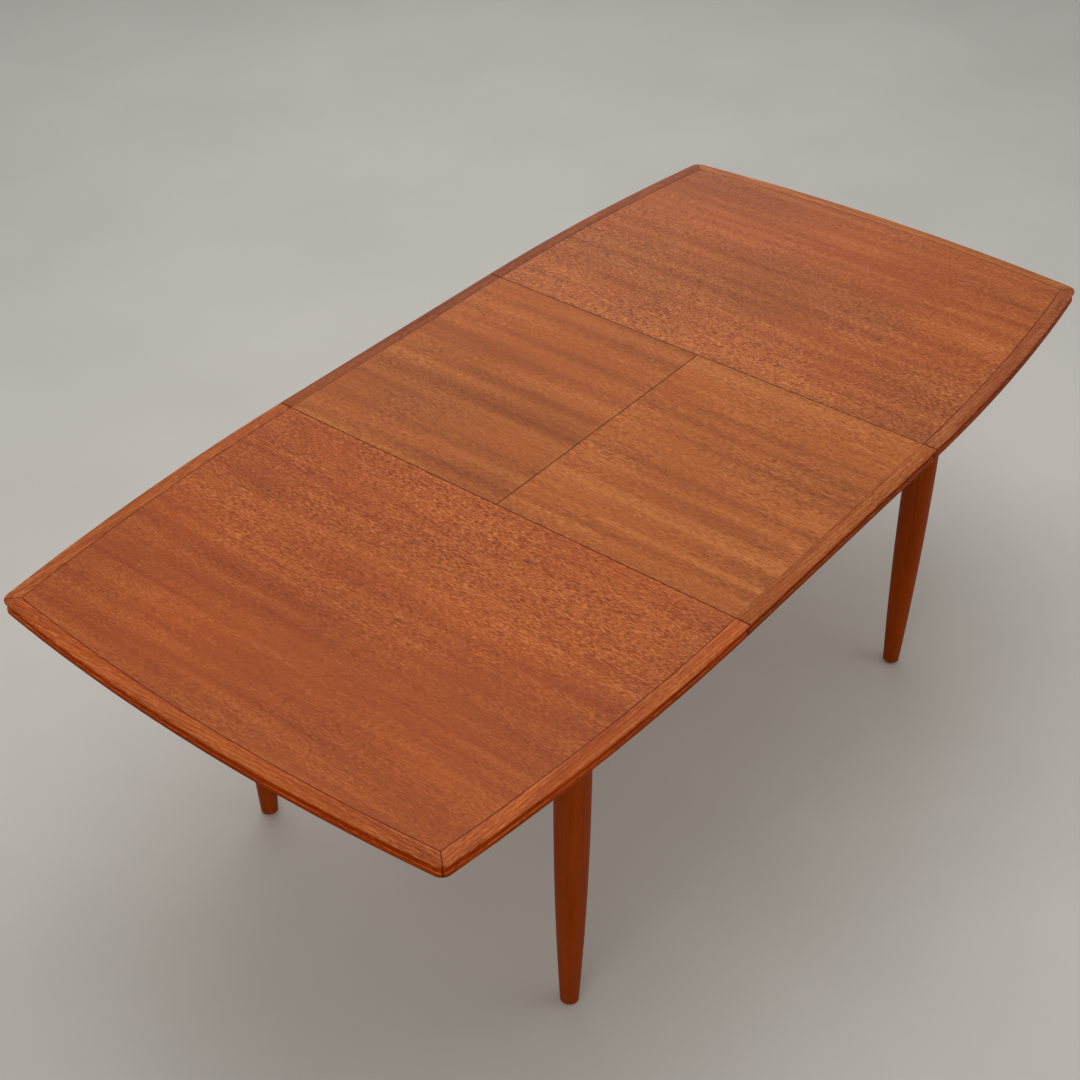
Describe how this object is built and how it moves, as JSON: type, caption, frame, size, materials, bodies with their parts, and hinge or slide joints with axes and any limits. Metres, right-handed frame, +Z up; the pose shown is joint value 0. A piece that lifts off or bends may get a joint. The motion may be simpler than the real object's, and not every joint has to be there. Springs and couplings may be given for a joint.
{
  "type": "extending dining table",
  "caption": "Teak extending dining table with sliding bow-edged end tops and a folding butterfly leaf laid flat between them, on turned tapered legs.",
  "frame": {"origin": "on the floor under the middle of the pulled-out table (bottom centre of its box)", "axes": "+X along the table, +Y across it towards the back long side, +Z up"},
  "size_m": [1.972, 0.996, 0.74],
  "materials": {
    "top_veneer_teak": "satin oiled",
    "leaf_veneer_teak": "satin oiled",
    "edge_teak": "satin oiled",
    "leg_teak": "satin lacquer",
    "rail_teak": "satin lacquer",
    "frame_beech": "plain",
    "core_board": "backing veneer",
    "brass_fittings": "satin",
    "steel_fittings": "zinc plated",
    "glide_nylon": "matte",
    "felt": "matte"
  },
  "bodies": {
    "base": {"leg_front_left": "leg_teak", "leg_front_right": "leg_teak", "leg_back_left": "leg_teak", "leg_back_right": "leg_teak", "foot_glides": "glide_nylon", "side_rail_front": "rail_teak", "side_rail_back": "rail_teak", "end_rail_left": "rail_teak", "end_rail_right": "rail_teak", "cross_rail_left": "frame_beech", "cross_rail_right": "frame_beech", "inner_guide_front": "frame_beech", "inner_guide_back": "frame_beech", "outer_guide_front": "frame_beech", "outer_guide_back": "frame_beech", "stop_block_front": "frame_beech", "stop_block_back": "frame_beech", "corner_blocks": "frame_beech", "leg_bolts": "steel_fittings", "leg_nuts": "steel_fittings", "guide_screws": "steel_fittings", "pivot_bushes": "brass_fittings", "felt_pads": "felt"},
    "right_top": {"right_top_core": "core_board", "right_top_veneer": "top_veneer_teak", "right_end_strip": "edge_teak", "right_front_strip": "edge_teak", "right_back_strip": "edge_teak", "right_runner_front": "frame_beech", "right_runner_back": "frame_beech", "right_runner_screws": "steel_fittings", "right_stop_pegs": "frame_beech"},
    "left_top": {"left_top_core": "core_board", "left_top_veneer": "top_veneer_teak", "left_end_strip": "edge_teak", "left_front_strip": "edge_teak", "left_back_strip": "edge_teak", "left_runner_front": "frame_beech", "left_runner_back": "frame_beech", "left_runner_screws": "steel_fittings", "left_stop_pegs": "frame_beech"},
    "leaf_back": {"leaf_back_core": "core_board", "leaf_back_veneer": "leaf_veneer_teak", "leaf_back_strip": "edge_teak", "leaf_back_hinges": "brass_fittings", "pivot_brackets": "steel_fittings", "pivot_pins": "steel_fittings", "pivot_screws": "steel_fittings"},
    "leaf_front": {"leaf_front_core": "core_board", "leaf_front_veneer": "leaf_veneer_teak", "leaf_front_strip": "edge_teak", "leaf_front_hinges": "brass_fittings"}
  },
  "joints": [
    {"name": "right_top_pull", "type": "slide", "parent": "base", "child": "right_top", "axis": [1, 0, 0], "range_m": [0, 0.04]},
    {"name": "left_top_pull", "type": "slide", "parent": "base", "child": "left_top", "axis": [-1, 0, 0], "range_m": [0, 0.04]},
    {"name": "leaf_raise", "type": "hinge", "parent": "base", "child": "leaf_back", "pos_m": [0, 0.1245, 0.704], "axis": [1, 0, 0], "range_deg": [0, 90]},
    {"name": "leaf_fold", "type": "hinge", "parent": "leaf_back", "child": "leaf_front", "pos_m": [0, 0, 0.74015], "axis": [-1, 0, 0], "range_deg": [0, 180]}
  ],
  "couplings": [
    {"joint": "leaf_fold", "follows": "leaf_raise", "ratio": 2}
  ]
}
